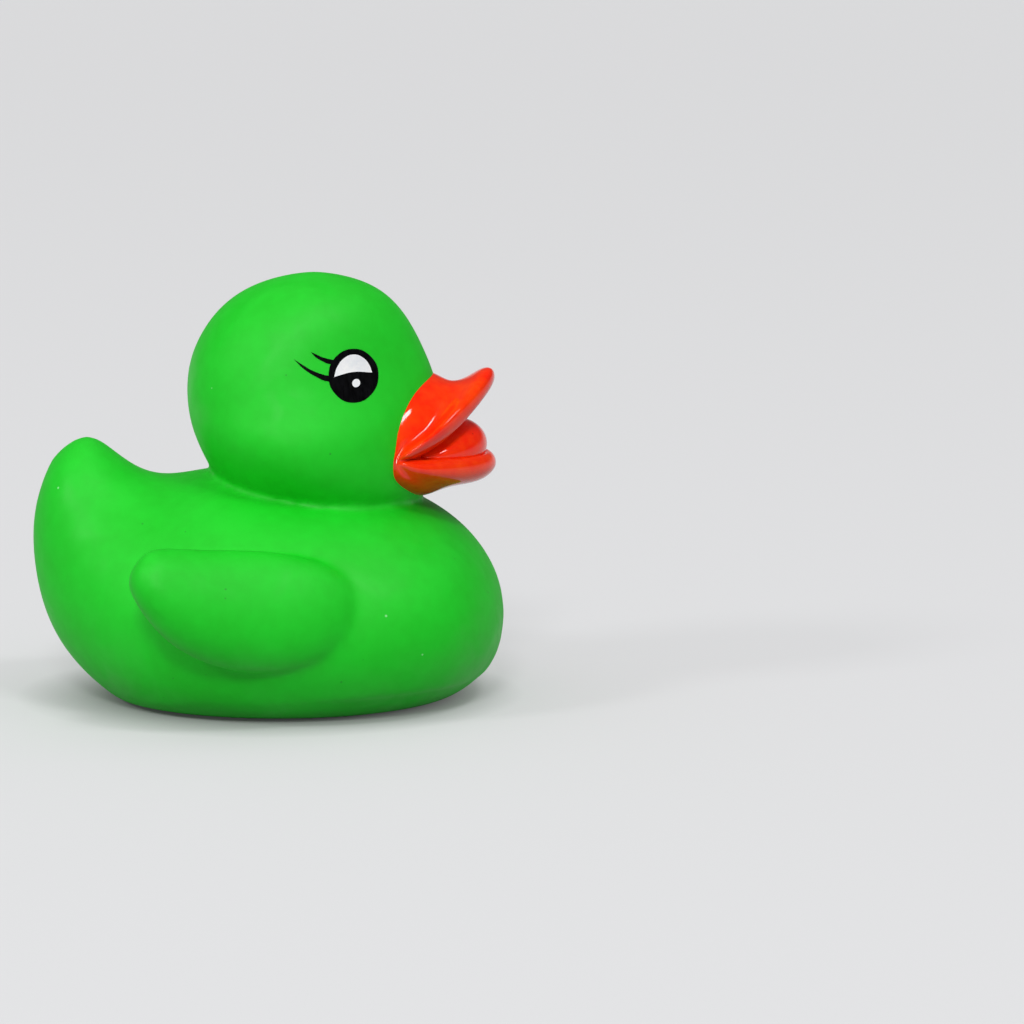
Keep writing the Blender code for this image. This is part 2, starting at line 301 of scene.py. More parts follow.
# %% Loft the head
HEAD_FOOT = (9.0, 0, 29.0)
HEAD_HOOPS = [  # front (x, z), back (x, z), half width and fullness
    ((23.5, 32.5), (-4.5, 33.0), 13.0, 0.0),
    ((27.5, 36.5), (-8.6, 37.0), 17.4, 0.02),
    ((29.0, 40.5), (-10.8, 40.5), 20.5, 0.12),
    ((29.2, 44.5), (-12.8, 44.5), 22.0, 0.17),
    ((29.4, 48.5), (-14.3, 48.5), 22.0, 0.2),
    ((29.2, 52.5), (-14.9, 52.5), 20.1, 0.22),
    ((28.6, 56.5), (-14.9, 56.5), 18.6, 0.27),
    ((26.8, 61.0), (-14.0, 61.0), 17.4, 0.28),
    ((24.4, 66.0), (-11.4, 66.0), 16.0, 0.22),
    ((21.3, 70.2), (-7.6, 70.2), 13.3, 0.15),
    ((16.9, 73.2), (-2.2, 73.2), 9.3, 0.08),
]
HEAD_CROWN = (7.6, 0, 75.5)

head = loft("head", HEAD_FOOT, on_middle(HEAD_HOOPS), HEAD_CROWN)

# %% [markdown]
# ## The wings
# A wing is a plump teardrop that lies along the flank and lifts its tip away from it. Its twin could come
# from a Mirror modifier. Here the same row of hoops is lofted once more with every y turned round,
# because each wing has to be a closed form of its own before they all melt into one skin.

# %% Loft both wings
WING_FRONT = (17.4, 29.5, 20.5)
WING_HOOPS = [  # top (x, y, z), bottom (x, y, z), half thickness and fullness
    ((15.0, 28.5, 25.4), (14.8, 31.7, 15.2), 3.6, 0.05),
    ((9.0, 29.5, 29.2), (8.5, 34.1, 11.0), 5.7, 0.1),
    ((0.0, 31.0, 31.2), (-0.5, 35.2, 10.0), 7.2, 0.12),
    ((-9.0, 33.3, 31.4), (-9.5, 36.5, 11.8), 7.9, 0.1),
    ((-15.5, 35.6, 32.2), (-16.5, 38.3, 16.0), 7.1, 0.05),
    ((-20.0, 37.2, 32.6), (-21.0, 39.7, 22.0), 5.3, 0.0),
]
WING_TIP = (-23.8, 39.4, 27.2)


def flipped(point, side):
    """A drawn point on the left (1) or right (-1) of the duck."""
    return (point[0], point[1] * side, point[2])


wings = []
for side, word in ((1, "left"), (-1, "right")):
    hoops = [(flipped(top, side), flipped(bottom, side), *rest) for top, bottom, *rest in WING_HOOPS]
    wings.append(loft("wing_" + word, flipped(WING_FRONT, side), hoops, flipped(WING_TIP, side)))

# %% [markdown]
# ## The flat base
# The duck stands on a flat base with a rounded edge. A bevel can't do this well on a surface that meets
# the ground at a different angle all the way round. So the ground itself is modelled, as a shallow dish
# that curves up around the base, and it is cut out of the body.

# %% Cut the dish of the ground out of the body
FOOT_MIDDLE = 1.6
FOOT_RINGS = [  # half length, half width and height above the ground
    (27.0, 22.2, 0.0),
    (29.2, 24.6, 0.35),
    (31.2, 26.8, 1.1),
    (33.4, 29.2, 2.5),
    (36.0, 32.0, 4.8),
]
DISH_BRIM = (70.0, 66.0, 12.0)
DISH_DEPTH = -30.0
DISH_SIDES = 64


def combine(ob, other, operation):
    """Adds or cuts away a second closed form, or keeps what both share. The second one is removed."""
    joining = ob.modifiers.new(operation, "BOOLEAN")
    joining.operation = operation
    joining.solver = "EXACT"
    joining.object = other
    apply_modifiers(ob)
    pick(other)
    bpy.ops.object.delete()


ground = start_form("ground")
for half_length, half_width, height in FOOT_RINGS + [DISH_BRIM, (*DISH_BRIM[:2], DISH_DEPTH)]:
    front = (FOOT_MIDDLE + half_length, 0, height)
    back = (FOOT_MIDDLE - half_length, 0, height)
    add_ring(ground, DISH_SIDES, hoop(front, back, half_width))
rings = bridge_rings(ground, DISH_SIDES)
for first in (0, (rings - 1) * DISH_SIDES):
    select_points(ground, range(first, first + DISH_SIDES))
    bpy.ops.mesh.edge_face_add()
face_outwards()
print("ground has", len(ground.data.polygons), "faces")
combine(body, ground, "DIFFERENCE")
print("the body now starts at z =", round(min(v.co.z for v in body.data.vertices) * 1000, 3), "mm")

# %% [markdown]
# ## One skin
# The real duck is cast in one mould, so body, head and wings are one skin, and the creases between them
# are soft. A Boolean union would leave knife-sharp creases. Instead the forms are joined, wrapped with a
# voxel remesh in one even net of faces, each about half a millimetre wide, and smoothed a little. The
# wide curves hardly move, and the creases fill up to a radius of a millimetre or two, as in a mould.

# %% Melt the forms into one skin
VOXEL = 0.55 * MM
CREASE_SOFTENING = 0.5
CREASE_PASSES = 20

skin = pick(body, head, *wings)
bpy.ops.object.join()
skin.name = skin.data.name = "duck_skin"
wrapping = skin.modifiers.new("wrap", "REMESH")
wrapping.mode = "VOXEL"
wrapping.voxel_size = VOXEL
softening = skin.modifiers.new("soften creases", "SMOOTH")
softening.factor = CREASE_SOFTENING
softening.iterations = CREASE_PASSES
apply_modifiers(skin)
print("skin has", triangles(skin), "triangles")

# %% [markdown]
# Smoothing lifts the very bottom by a hair. Every vertex that is nearly on the ground is pressed flat
# onto it, so that the duck stands on a true flat face.

# %% Press the base flat
NEARLY_FLAT = 0.12 * MM

pick(skin)
for vert in skin.data.vertices:
    vert.select = vert.co.z < NEARLY_FLAT
bpy.ops.object.mode_set(mode="EDIT")
bpy.ops.transform.resize(value=(1, 1, 0), center_override=(0, 0, 0))
bpy.ops.object.mode_set(mode="OBJECT")
print("lowest point of the skin:", round(min(v.co.z for v in skin.data.vertices) * 1000, 4), "mm")

# %% [markdown]
# ## The squeaker's seat
# The squeaker's flange sits in a round recess in the base, with a narrower hole above it. Two cylinders
# could be cut out one after the other. One circle that is extruded up, drawn in and extruded again
# makes a single cutter with both widths, and the cut is made once.

# %% Cut the seat of the squeaker
SEAT_RADIUS = 7.8
SEAT_DEPTH = 1.3
HOLE_RADIUS = 6.0
HOLE_DEPTH = 9.0
SEAT_SIDES = 96
SEAT_START = -1.0


def extrude_up(height):
    """In edit mode, extrudes what is selected straight up."""
    bpy.ops.mesh.extrude_region_move(TRANSFORM_OT_translate={"value": (0, 0, height)})


seat = start_form("seat")
bpy.ops.mesh.primitive_circle_add(
    vertices=SEAT_SIDES, radius=SEAT_RADIUS * MM, fill_type="NGON", location=(0, 0, SEAT_START * MM)
)
extrude_up((SEAT_DEPTH - SEAT_START) * MM)
bpy.ops.mesh.inset(thickness=(SEAT_RADIUS - HOLE_RADIUS) * MM)
extrude_up((HOLE_DEPTH - SEAT_DEPTH) * MM)
face_outwards()
combine(skin, seat, "DIFFERENCE")
pick(skin)
bpy.ops.object.shade_smooth_by_angle(angle=SHARP_ANGLE)
print("skin with its seat:", triangles(skin), "triangles")

# %% [markdown]
# ## The beak
# The beak is wide open. Its outside runs from the head to the rolled rim, over the rim, and back down
# into the throat, so it is lofted as one bag: rings go out, turn over and come back in. A ring is not
# flat here. It is folded about the line between the two corners of the mouth, as a purse is: its top
# half leans up with the upper beak, and its bottom half lies down with the lower one.
#
# A ring is drawn as its corner (x, half width, z), its upper half, its lower half, and how deep the
# crease at the corner is. A half is drawn as the middle of its edge (x, z) and four numbers that say how
# the edge gets there from the corner: how late it comes forward, how late it rises, how far it steps up
# or down right at the corner, and how hollow the flank beside it is.

# %% Draw the rings of the beak
FROM_CORNER = [0, 4, 12, 26, 42, 58, 74]
STEP_SHARPNESS = 8
HOLLOW_START = 0.55
BEAK_ROOT = (18.0, 0, 47.0)
BEAK_RINGS = [
    ((12.0, 12.5, 45.5), (20.0, 56.2, 1.4, 1.2, 5.0, 0.3), (20.0, 37.0, 1.4, 1.2, -3.5, 0.0), 0.0),
    ((18.0, 14.0, 44.8), (24.6, 57.6, 1.6, 1.4, 4.5, 0.8), (24.2, 35.7, 1.5, 1.3, -3.2, 0.0), 0.0),
    ((21.6, 15.2, 44.2), (28.4, 57.0, 1.5, 1.8, 4.2, 1.0), (27.9, 36.1, 1.4, 1.3, -2.6, -0.1), 0.1),
    ((21.9, 15.3, 44.0), (31.1, 55.8, 0.9, 2.4, 3.6, 1.6), (31.4, 37.3, 1.3, 1.3, -2.0, -0.2), 0.2),
    ((22.2, 15.4, 43.9), (33.9, 56.3, 1.0, 2.1, 2.8, 0.8), (35.4, 38.1, 1.25, 1.4, -1.5, -0.2), 0.4),
    ((22.8, 15.4, 43.9), (36.6, 57.8, 1.15, 1.8, 1.7, -1.0), (38.0, 39.3, 1.3, 1.4, -0.9, -0.3), 0.6),
    ((23.5, 14.8, 43.9), (38.5, 57.8, 1.15, 1.8, 0.8, -0.8), (39.2, 41.2, 1.35, 1.45, -0.3, -0.2), 0.8),
    ((24.3, 13.6, 43.9), (38.9, 56.0, 1.2, 1.9, 0.3, -0.2), (38.4, 43.0, 1.35, 1.4, 0.0, 0.0), 0.6),
    ((25.2, 12.2, 43.9), (37.5, 53.9, 1.35, 1.8, 0.6, 0.1), (36.9, 43.0, 1.4, 1.4, -0.3, 0.0), 0.4),
    ((26.4, 10.4, 44.0), (34.8, 52.3, 1.5, 1.6, 1.5, 0.1), (35.0, 42.2, 1.4, 1.3, -0.9, 0.0), 0.2),
    ((28.0, 8.0, 44.2), (32.0, 50.2, 1.6, 1.5, 1.5, 0.0), (32.4, 41.6, 1.4, 1.3, -0.7, 0.0), 0.0),
    ((29.4, 4.6, 44.6), (30.6, 47.8, 1.5, 1.6, 0.5, 0.0), (30.8, 42.6, 1.4, 1.3, 0.0, 0.0), 0.0),
]
BEAK_THROAT = (30.2, 0, 45.2)
CORNER_RINGS = (4, 10)


def folded(turn, corner, upper, lower, groove):
    """A point of a ring that is folded about the line between the two corners of the mouth."""
    end_x, end_z, advance, lateness, step, dish = upper if math.cos(turn) > 0 else lower
    reach = abs(math.cos(turn))
    x = corner[0] + (end_x - corner[0]) * reach**advance
    start_z = corner[2] + step * (1 - (1 - reach) ** STEP_SHARPNESS)
    z = start_z + (end_z - start_z) * reach**lateness
    hollow = 2 * dish * (1 - reach**2) * reach**HOLLOW_START
    at_corner = reach < 0.01
    half_width = corner[1] - (groove if at_corner else hollow)
    return at(x, half_width * math.sin(turn), z)


half = FROM_CORNER + [90] + [180 - degrees for degrees in FROM_CORNER[:0:-1]]
turns = [math.radians(90 + degrees) for degrees in half + [180 + degrees for degrees in half]]
BEAK_SIDES = len(turns)
drawn = np.array([[folded(turn, *ring) for turn in turns] for ring in BEAK_RINGS])
print("drawn net of the beak:", drawn.shape[0], "rings of", drawn.shape[1], "points")

# %% [markdown]
# Rounding moves each point to a mix of itself and its neighbours, with weights of 4 to 1 to 1, both
# along the loft and around it. That would flatten a rim this tight. The mix is a small set of linear
# equations, so it can be turned round: it is solved for the cage whose rounded surface runs through the
# drawn points. At the corners of the mouth the edges are creased, and only the mix along the loft counts.

# %% Loft the beak through its drawn rings
def mixing(count, closed):
    """The weights with which rounding mixes a row of points. The ends of an open row stay put."""
    weights = (4 * np.eye(count) + np.eye(count, k=1) + np.eye(count, k=-1)) / 6
    if closed:
        weights[0, -1] = weights[-1, 0] = 1 / 6
    else:
        weights[0], weights[-1] = np.eye(count)[0], np.eye(count)[-1]
    return weights


def caged(drawn):
    """The cage around a net of drawn points, with the first and the middle column creased."""
    rings, sides = drawn.shape[:2]
    along = np.einsum("ij,jsc->isc", np.linalg.inv(mixing(rings, False)), drawn)
    cage = np.einsum("st,itc->isc", np.linalg.inv(mixing(sides, True)), along)
    first, last = CORNER_RINGS
    for column in (0, sides // 2):
        cage[first : last + 1, column] = along[first : last + 1, column]
    return cage


def crease_column(form, sides, column, rings):
    """In edit mode, makes the edges of one column sharp, from one ring to another."""
    first, last = rings
    select_points(form, range(first * sides + column, last * sides + column + 1, sides))
    bpy.ops.transform.edge_crease(value=1)


def through(points):
    """The place function of a ring through these points, which start a quarter turn round."""
    sides = len(points)
    return lambda turn: Vector(points[round((turn / math.tau - 0.25) * sides) % sides])


beak = start_form("duck_beak")
for row in caged(drawn):
    add_ring(beak, BEAK_SIDES, through(row))
for column in (0, BEAK_SIDES // 2):
    crease_column(beak, BEAK_SIDES, column, CORNER_RINGS)
close_loft(beak, BEAK_SIDES, at(*BEAK_ROOT), at(*BEAK_THROAT))
round_off(beak)
pick(beak)
bpy.ops.object.shade_smooth()

# %% [markdown]
# ## The tongue
# The tongue is a thick cushion that fills the lower beak and runs out to a point at both corners of the
# mouth. A flattened sphere would end too bluntly there. So it is lofted across the duck, from one corner
# to the other, and its outline is a lens.

# %% Loft the tongue
TONGUE_HALVES = [  # distance from the middle, middle (x, z), half length and half height
    (0.0, (32.1, 44.7), 5.7, 4.7),
    (3.6, (31.7, 44.6), 5.6, 4.4),
    (6.6, (30.7, 44.4), 5.0, 3.4),
    (8.9, (29.4, 44.1), 3.8, 2.1),
    (10.4, (28.3, 43.9), 2.4, 1.0),
]
TONGUE_END = (27.0, 11.4, 43.9)
TONGUE_SIDES = 20


def standing(middle, y, half_length, half_height):
    """The place function of an upright ellipse that faces sideways."""
    x, z = middle
    return lambda turn: at(x + half_length * math.sin(turn), y, z + half_height * math.cos(turn))


slices = [(-y, *rest) for y, *rest in TONGUE_HALVES[:0:-1]] + TONGUE_HALVES
tongue = start_form("duck_tongue")
for y, middle, half_length, half_height in slices:
    place = standing(middle, y, half_length, half_height)
    add_ring(tongue, TONGUE_SIDES, swollen(place, at(middle[0], y, middle[1]), TONGUE_SIDES))
close_loft(tongue, TONGUE_SIDES, at(*flipped(TONGUE_END, -1)), at(*TONGUE_END))
round_off(tongue)
pick(tongue)
bpy.ops.object.shade_smooth()

# %% [markdown]
# ## The eyes
# The eyes are pad prints: a thin film of ink, laid on the cheek by a soft pad. A mask in the skin's
# material could paint them, but its edge would blur up close. So each colour is modelled as a film. The
# outlines come first, as smooth closed curves that are drawn out to prisms. They will cut the film as
# the pad's plate cuts the print.

# %% Draw the stamps
BLACK_STAMPS = {
    "oval": [(10.42, 59.03), (11.66, 62.13), (14.65, 63.28), (17.65, 61.71),
             (18.93, 58.45), (17.69, 55.43), (14.70, 54.33), (11.69, 55.84)],
    "upper_lash": [(7.40, 63.12), (8.30, 62.70), (9.40, 62.17), (10.90, 61.70),
                   (12.60, 61.00), (10.53, 60.98), (9.35, 61.52), (8.20, 62.26)],
    "lower_lash": [(4.50, 61.97), (5.90, 61.08), (7.70, 60.00), (9.70, 59.20),
                   (12.20, 58.30), (10.30, 58.10), (8.30, 58.95), (6.25, 60.30)],
}
WHITE_STAMPS = {
    "moon": [(11.39, 58.80), (11.85, 60.35), (13.10, 61.85), (14.63, 62.33),
             (16.12, 61.80), (17.32, 60.45), (17.84, 59.08), (14.65, 59.42)],
    "dot": [(14.46, 57.54), (14.66, 58.02), (15.14, 58.22), (15.62, 58.02),
            (15.82, 57.54), (15.62, 57.06), (15.14, 56.86), (14.66, 57.06)],
}
SHARP_POINTS = {"upper_lash": [0], "lower_lash": [0], "moon": [0, 6]}
STAMP_REACH = 30.0


def stamp(name, outline):
    """A prism through the head, whose section is a smooth closed curve through the outline's points."""
    deselect()
    bpy.ops.curve.primitive_bezier_circle_add()
    curve = bpy.context.object
    curve.name = name
    bpy.ops.object.mode_set(mode="EDIT")
    bpy.ops.curve.select_all(action="SELECT")
    bpy.ops.curve.subdivide(number_cuts=len(outline) // 4 - 1)
    bpy.ops.object.mode_set(mode="OBJECT")
    for number, (point, (x, z)) in enumerate(zip(curve.data.splines[0].bezier_points, outline)):
        point.handle_left_type = point.handle_right_type = "FREE"
        point.co = point.handle_left = point.handle_right = at(x, -STAMP_REACH, z)
        kind = "VECTOR" if number in SHARP_POINTS.get(name, []) else "AUTO"
        point.handle_left_type = point.handle_right_type = kind
    bpy.ops.object.convert(target="MESH")
    bpy.ops.object.mode_set(mode="EDIT")
    bpy.ops.mesh.select_all(action="SELECT")
    bpy.ops.mesh.remove_doubles(threshold=MICRON)
    bpy.ops.mesh.edge_face_add()
    bpy.ops.mesh.extrude_region_move(TRANSFORM_OT_translate={"value": (0, 2 * STAMP_REACH * MM, 0)})
    face_outwards()
    return bpy.context.object


print("outlines of the eye:", [*BLACK_STAMPS, *WHITE_STAMPS])

# %% [markdown]
# A patch of the skin around both eyes is copied and given a hair of thickness, so that the ink follows
# the cheek exactly. The stamps keep what lies inside them. The white film is a little thicker than the
# black one, because it was printed on top of it.

# %% Print the eyes
EYE_BOX = ((2.0, 21.0), (52.0, 65.0))
INK_BELOW = 0.25
BLACK_ABOVE = 0.04
WHITE_ABOVE = 0.07


def film(name, above):
    """A copy of the skin around both eyes, with a hair of thickness."""
    (x_low, x_high), (z_low, z_high) = EYE_BOX
    low, high = at(x_low, 0, z_low), at(x_high, 0, z_high)
    pick(skin)
    for vert in skin.data.vertices:
        vert.select = low.x < vert.co.x < high.x and low.z < vert.co.z < high.z
    bpy.ops.object.mode_set(mode="EDIT")
    bpy.ops.mesh.duplicate()
    bpy.ops.mesh.separate(type="SELECTED")
    bpy.ops.object.mode_set(mode="OBJECT")
    made = next(ob for ob in bpy.context.selected_objects if ob != skin)
    made.name = made.data.name = name
    thickness = made.modifiers.new("ink", "SOLIDIFY")
    thickness.thickness = (above + INK_BELOW) * MM
    thickness.offset = 2 * above / (above + INK_BELOW) - 1
    apply_modifiers(made)
    return made


def printed(name, above, stamps):
    """A film of ink, cut out by the union of some stamps."""
    plate, *others = [stamp(word, outline) for word, outline in stamps.items()]
    for other in others:
        combine(plate, other, "UNION")
    ink = film(name, above)
    combine(ink, plate, "INTERSECT")
    pick(ink)
    bpy.ops.object.shade_smooth_by_angle(angle=SHARP_ANGLE)
    print(name, "has", triangles(ink), "triangles")
    return ink


eye_black = printed("eye_black", BLACK_ABOVE, BLACK_STAMPS)
eye_white = printed("eye_white", WHITE_ABOVE, WHITE_STAMPS)

# %% [markdown]
# ## Finishes
# Every finish is a set of patterns in the object's own space, so nothing slides or stretches. A picture
# wrapped round each piece would show its seams, and these have none. Four effects come back in several
# finishes, so each is a node group: a cloudy tone, a moulded grain, stray specks, and the marks that
# hands leave. A few short functions place the nodes, so that a finish reads as what it is made of.

# %% Helpers for nodes
FULL_SPAN = (0.0, 1.0)
NOISE_SPAN = (0.3, 0.7)


def add(tree, kind, inputs=None, **settings):
    """One shader node. An input is given a plain value, or the output of another node to link to."""
    made = tree.nodes.new("ShaderNode" + kind)
    for name, value in settings.items():
        setattr(made, name, value)
    for name, value in (inputs or {}).items():
        if isinstance(value, bpy.types.NodeSocket):
            tree.links.new(value, made.inputs[name])
        else:
            made.inputs[name].default_value = value
    return made


def math_node(tree, operation, *values):
    """One Math node. Returns its output."""
    return add(tree, "Math", dict(enumerate(values)), operation=operation).outputs[0]


def ranged(tree, value, onto, within=FULL_SPAN):
    """Maps a value from within one range onto another, and holds it there. Returns the output."""
    limits = zip(("From Min", "From Max", "To Min", "To Max"), (*within, *onto))
    return add(tree, "MapRange", {"Value": value, **dict(limits)}).outputs["Result"]


def mixed(tree, share, first, second):
    """Mixes two colours. Returns the output. The Mix node's sockets for colours are 6, 7 and 2."""
    return add(tree, "Mix", {0: share, 6: first, 7: second}, data_type="RGBA").outputs[2]


def noise(tree, spot, scale, detail=2.0, distortion=0.0):
    """Noise around 0.5, at this many waves per metre. Returns the output."""
    inputs = {"Vector": spot, "Scale": scale, "Detail": detail, "Distortion": distortion}
    return add(tree, "TexNoise", inputs).outputs[0]


def stretched(tree, spot, scale):
    """The coordinates, drawn out along some axes. Returns the output."""
    return add(tree, "Mapping", {"Vector": spot, "Scale": scale}).outputs[0]


print("noise is taken to span", NOISE_SPAN, "of", FULL_SPAN)

# %% [markdown]
# Pigment never mixes perfectly into vinyl or paint. One even colour would look like a drawing of the
# duck. The cloudy tone blends two shades of a colour, in wide patches with a finer mottling inside them.

# %% The cloudy tone
PATCHES_SHARE = 0.6
MOTTLING_SHARE = 0.4
CLOUD_SPAN = (0.36, 0.64)


def start_group(name, inputs, output, kind):
    """A node group with these inputs and one output. Returns the group, its inputs and its exit."""
    group = bpy.data.node_groups.new(name, "ShaderNodeTree")
    for label, socket in inputs.items():
        group.interface.new_socket(name=label, in_out="INPUT", socket_type="NodeSocket" + socket)
    group.interface.new_socket(name=output, in_out="OUTPUT", socket_type="NodeSocket" + kind)
    given = group.nodes.new("NodeGroupInput").outputs
    exit_socket = group.nodes.new("NodeGroupOutput").inputs[output]
    return group, given, exit_socket


CLOUDY, given, exit_socket = start_group(
    "cloudy_tone",
    {"Position": "Vector", "Patches": "Float", "Mottling": "Float", "Dark": "Color", "Light": "Color"},
    "Color", "Color",
)
patches = noise(CLOUDY, given["Position"], given["Patches"])
mottling = noise(CLOUDY, given["Position"], given["Mottling"], detail=3.0)
both = math_node(CLOUDY, "MULTIPLY", patches, PATCHES_SHARE)
both = math_node(CLOUDY, "MULTIPLY_ADD", mottling, MOTTLING_SHARE, both)
share = ranged(CLOUDY, both, FULL_SPAN, within=CLOUD_SPAN)
CLOUDY.links.new(mixed(CLOUDY, share, given["Dark"], given["Light"]), exit_socket)
print(CLOUDY.name, "has", len(CLOUDY.nodes), "nodes")

# %% [markdown]
# A blasted mould leaves a fine grain on the vinyl, and on paint the same group gives orange peel. It is
# only some thousandths of a millimetre high, too fine for a mesh, so it is a height for a Bump node: a
# fine wave on a wider and gentler one.

# %% The moulded grain
WIDE_SHARE = 2.0

GRAIN, given, exit_socket = start_group(
    "moulded_grain", {"Position": "Vector", "Fine": "Float", "Wide": "Float"}, "Height", "Float"
)
fine = noise(GRAIN, given["Position"], given["Fine"], detail=1.0)
wide = noise(GRAIN, given["Position"], given["Wide"])
GRAIN.links.new(math_node(GRAIN, "MULTIPLY_ADD", wide, WIDE_SHARE, fine), exit_socket)
print(GRAIN.name, "has", len(GRAIN.nodes), "nodes")

# %% [markdown]
# Specks of dust and of unmixed pigment are rare, round and each of its own size. Noise that is cut off
# gives ragged blots instead. A Voronoi texture scatters one point in each cell, and its random colour
# says which points show, and how large.

# %% The specks
SMALLEST = 0.4
SOFT_EDGE = 0.6

SPECKS, given, exit_socket = start_group(
    "specks", {"Position": "Vector", "Cells": "Float", "Share": "Float", "Size": "Float"}, "Mask", "Float"
)
cells = add(SPECKS, "TexVoronoi", {"Vector": given["Position"], "Scale": given["Cells"]})
lots = add(SPECKS, "SeparateColor", {"Color": cells.outputs["Color"]}).outputs
chosen = math_node(SPECKS, "LESS_THAN", lots["Red"], given["Share"])
radius = math_node(SPECKS, "MULTIPLY", ranged(SPECKS, lots["Green"], (SMALLEST, 1.0)), given["Size"])
inner = math_node(SPECKS, "MULTIPLY", radius, SOFT_EDGE)
dot = ranged(SPECKS, cells.outputs["Distance"], FULL_SPAN, within=(radius, inner))
SPECKS.links.new(math_node(SPECKS, "MULTIPLY", dot, chosen), exit_socket)
print(SPECKS.name, "has", len(SPECKS.nodes), "nodes")

# %% [markdown]
# Hands polish the high spots and leave dull smears. The marks are a warped noise, cut off so that most
# of the surface stays clean.

# %% The handling marks
MARKED_SPAN = (0.48, 0.66)

MARKS, given, exit_socket = start_group(
    "handling_marks", {"Position": "Vector", "Scale": "Float"}, "Mask", "Float"
)
smears = noise(MARKS, given["Position"], given["Scale"], detail=4.0, distortion=1.2)
MARKS.links.new(ranged(MARKS, smears, FULL_SPAN, within=MARKED_SPAN), exit_socket)
print(MARKS.name, "has", len(MARKS.nodes), "nodes")

# %% [markdown]
# A material's own part is small: a Principled shader with its plain values, the object's coordinates,
# and links for what changes over the surface, which is its colour, its roughness and its relief.

# %% Helpers for materials
def new_material(name, **settings):
    """A material, its tree and its Object coordinates. Settings are the shader's own plain values."""
    material = bpy.data.materials.new(name)
    material.use_nodes = True
    tree = material.node_tree
    shader = tree.nodes["Principled BSDF"]
    for label, value in settings.items():
        shader.inputs[label.replace("_", " ").title().replace("Ior", "IOR")].default_value = value
    return material, tree, add(tree, "TexCoord").outputs["Object"]


def effect(tree, group, **values):
    """One shared effect, placed in a material with values of its own. Returns the output."""
    inputs = {label.title(): value for label, value in values.items()}
    return add(tree, "Group", inputs, node_tree=group).outputs[0]


def finish(material, colour, roughness, relief, microns):
    """Links a material's patterns to its shader. The relief is this many thousandths of a mm high."""
    tree = material.node_tree
    bump = add(tree, "Bump", {"Height": relief, "Distance": microns * MICRON, "Strength": 1.0})
    links = {"Base Color": colour, "Roughness": roughness, "Normal": bump.outputs["Normal"]}
    for label, output in links.items():
        tree.links.new(output, tree.nodes["Principled BSDF"].inputs[label])
    print(material.name, "has", len(tree.nodes), "nodes")


print("shared effects:", [group.name for group in bpy.data.node_groups])

# %% [markdown]
# ## Green vinyl
# Soft vinyl, matte from the grain of its mould, with a green that is a little cloudy. Pale dust sticks
# to it, a few grains of darker pigment show, and it is smoother where it is held.

# %% Green vinyl
DEEP_GREEN = (0.0005, 0.53, 0.005, 1)
BRIGHT_GREEN = (0.0015, 0.60, 0.010, 1)
PALE_DUST = (0.22, 0.75, 0.24, 1)
DARK_PIGMENT = (0.002, 0.34, 0.008, 1)
MATTE_TO_HELD = (0.62, 0.50)

vinyl, tree, spot = new_material("green_vinyl", specular_ior_level=0.4)
colour = effect(tree, CLOUDY, position=spot, patches=60, mottling=420, dark=DEEP_GREEN, light=BRIGHT_GREEN)
dust = effect(tree, SPECKS, position=spot, cells=330, share=0.05, size=0.11)
colour = mixed(tree, dust, colour, PALE_DUST)
pigment = effect(tree, SPECKS, position=spot, cells=520, share=0.08, size=0.12)
colour = mixed(tree, pigment, colour, DARK_PIGMENT)
roughness = ranged(tree, effect(tree, MARKS, position=spot, scale=75), MATTE_TO_HELD)
relief = effect(tree, GRAIN, position=spot, fine=3200, wide=260)
finish(vinyl, colour, roughness, relief, microns=7)

# %% [markdown]
# ## Beak paint
# The beak is sprayed with a glossy red lacquer. It lies orange where it is thin and deep red where it
# has run together, its surface has a slight orange peel, and a few grains of dust are caught in it. A
# clear coat over a dull red would shine as well, but lacquer is one layer, so the gloss and the orange
# peel are the paint's own.

# %% Beak paint
DEEP_RED = (0.92, 0.016, 0.001, 1)
ORANGE_RED = (0.99, 0.055, 0.002, 1)
CAUGHT_DUST = (0.42, 0.01, 0.002, 1)
DUST_UNDER_PAINT = 0.5
GLOSS_TO_SMEARED = (0.05, 0.13)

paint, tree, spot = new_material("beak_paint", specular_ior_level=0.45)
colour = effect(tree, CLOUDY, position=spot, patches=95, mottling=600, dark=DEEP_RED, light=ORANGE_RED)
nibs = effect(tree, SPECKS, position=spot, cells=420, share=0.1, size=0.13)
colour = mixed(tree, math_node(tree, "MULTIPLY", nibs, DUST_UNDER_PAINT), colour, CAUGHT_DUST)
roughness = ranged(tree, effect(tree, MARKS, position=spot, scale=120), GLOSS_TO_SMEARED)
peel = effect(tree, GRAIN, position=spot, fine=900, wide=210)
finish(paint, colour, roughness, math_node(tree, "ADD", peel, nibs), microns=9)

# %% [markdown]
# ## Black ink
# Pad printing lays a thin ink. The black shows faint grey streaks along the pad's travel, which are
# partly thin ink and partly a painted sheen. One plain black would look like a hole in the duck. So its
# noise is drawn out by a Mapping node, and gives both the colour and the gloss their streaks.

# %% Black ink
BLACK = (0.0005, 0.0005, 0.0008, 1)
THIN_INK_AND_SHEEN_GREY = (0.004, 0.004, 0.005, 1)
PAD_TRAVEL = (1.0, 1.0, 0.12)
STREAKED_GLOSS = (0.24, 0.40)

black_ink, tree, spot = new_material("eye_black", specular_ior_level=0.07)
streaks = stretched(tree, spot, PAD_TRAVEL)
# The greyer streaks in this colour are partly thin ink and partly a painted sheen.
colour = effect(tree, CLOUDY, position=streaks, patches=900, mottling=2600, dark=BLACK, light=THIN_INK_AND_SHEEN_GREY)
roughness = ranged(tree, noise(tree, streaks, 1500), STREAKED_GLOSS, within=NOISE_SPAN)
relief = effect(tree, GRAIN, position=spot, fine=2400, wide=500)
finish(black_ink, colour, roughness, relief, microns=3)

# %% [markdown]
# ## White ink
# The white was printed over the black and covers it with a faint bluish cloud. A pure white would
# outshine the whole duck, so it is written a little under that. Tiny pinholes let the black through.

